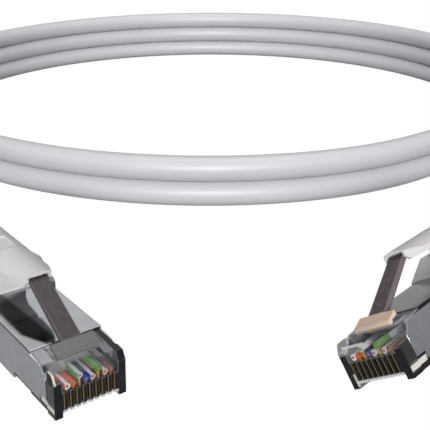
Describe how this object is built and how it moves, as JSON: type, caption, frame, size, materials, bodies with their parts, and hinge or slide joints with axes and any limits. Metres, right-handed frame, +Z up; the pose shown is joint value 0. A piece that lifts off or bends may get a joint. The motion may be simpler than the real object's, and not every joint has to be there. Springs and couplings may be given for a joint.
{
  "type": "ethernet patch cable",
  "caption": "Coiled shielded network patch cable with a clear-nosed modular plug at each end, a pale snagless boot behind each plug and a springy guard over its latch.",
  "frame": {"origin": "on the surface that the cable lies on, below the middle of the box round the two plugs and boots", "axes": "+Z up, +X from the left-hand plug to the right-hand one, +Y from the plugs towards the coil behind them"},
  "size_m": [0.1984, 0.2685, 0.0189],
  "materials": {
    "cable_jacket": "satin light grey PVC",
    "boot_plastic": "satin pale grey moulding",
    "clear_plastic": "clear polycarbonate",
    "latch_plastic": "smoky clear polycarbonate",
    "shield_steel": "bright nickel-plated sheet",
    "gold_plate": "gold plate",
    "load_bar_plastic": "natural plastic",
    "copper": "bare copper",
    "foil": "foil",
    "tinned_braid": "tinned copper braid",
    "crimp_steel": "nickel-plated sheet",
    "insulation_white_orange": "polyethylene, white with a stripe of orange",
    "insulation_orange": "polyethylene, orange",
    "insulation_white_green": "polyethylene, white with a stripe of green",
    "insulation_blue": "polyethylene, blue",
    "insulation_white_blue": "polyethylene, white with a stripe of blue",
    "insulation_green": "polyethylene, green",
    "insulation_white_brown": "polyethylene, white with a stripe of brown",
    "insulation_brown": "polyethylene, brown"
  },
  "bodies": {
    "cable_and_plugs": {"plug_housing_a": "clear_plastic", "shield_a": "shield_steel", "contact_blades_a": "gold_plate", "load_bar_a": "load_bar_plastic", "conductor_white_orange_a": "insulation_white_orange", "conductor_orange_a": "insulation_orange", "conductor_white_green_a": "insulation_white_green", "conductor_blue_a": "insulation_blue", "conductor_white_blue_a": "insulation_white_blue", "conductor_green_a": "insulation_green", "conductor_white_brown_a": "insulation_white_brown", "conductor_brown_a": "insulation_brown", "conductor_cores_a": "copper", "foil_wrap_a": "foil", "jacket_end_a": "cable_jacket", "braid_collar_a": "tinned_braid", "crimp_ring_a": "crimp_steel", "boot_a": "boot_plastic", "plug_housing_b": "clear_plastic", "shield_b": "shield_steel", "contact_blades_b": "gold_plate", "load_bar_b": "load_bar_plastic", "conductor_white_orange_b": "insulation_white_orange", "conductor_orange_b": "insulation_orange", "conductor_white_green_b": "insulation_white_green", "conductor_blue_b": "insulation_blue", "conductor_white_blue_b": "insulation_white_blue", "conductor_green_b": "insulation_green", "conductor_white_brown_b": "insulation_white_brown", "conductor_brown_b": "insulation_brown", "conductor_cores_b": "copper", "foil_wrap_b": "foil", "jacket_end_b": "cable_jacket", "braid_collar_b": "tinned_braid", "crimp_ring_b": "crimp_steel", "boot_b": "boot_plastic", "cable_tail_a": "cable_jacket", "cable_coil": "cable_jacket", "cable_tail_b": "cable_jacket"},
    "latch_a": {"latch_a": "latch_plastic"},
    "latch_guard_a": {"latch_guard_a": "boot_plastic"},
    "latch_b": {"latch_b": "latch_plastic"},
    "latch_guard_b": {"latch_guard_b": "boot_plastic"}
  },
  "joints": [
    {"name": "latch_guard_flex_a", "type": "hinge", "parent": "cable_and_plugs", "child": "latch_guard_a", "pos_m": [-0.03613, 0.00141, 0.01527], "axis": [0.7891, 0.6143, 0], "range_deg": [0, 18], "stiffness_Nm_per_rad": 0.02},
    {"name": "latch_flex_a", "type": "hinge", "parent": "cable_and_plugs", "child": "latch_a", "pos_m": [-0.02357, -0.01472, 0.00787], "axis": [-0.7891, -0.6143, 0], "range_deg": [0, 11.34], "stiffness_Nm_per_rad": 0.002},
    {"name": "latch_guard_flex_b", "type": "hinge", "parent": "cable_and_plugs", "child": "latch_guard_b", "pos_m": [0.03053, 0.00606, 0.01633], "axis": [0.584, -0.589, 0.5586], "range_deg": [0, 18], "stiffness_Nm_per_rad": 0.02},
    {"name": "latch_flex_b", "type": "hinge", "parent": "cable_and_plugs", "child": "latch_b", "pos_m": [0.0192, -0.01132, 0.00985], "axis": [-0.584, 0.589, -0.5586], "range_deg": [0, 11.34], "stiffness_Nm_per_rad": 0.002}
  ],
  "couplings": [
    {"joint": "latch_flex_a", "follows": "latch_guard_flex_a", "ratio": 0.63},
    {"joint": "latch_flex_b", "follows": "latch_guard_flex_b", "ratio": 0.63}
  ]
}
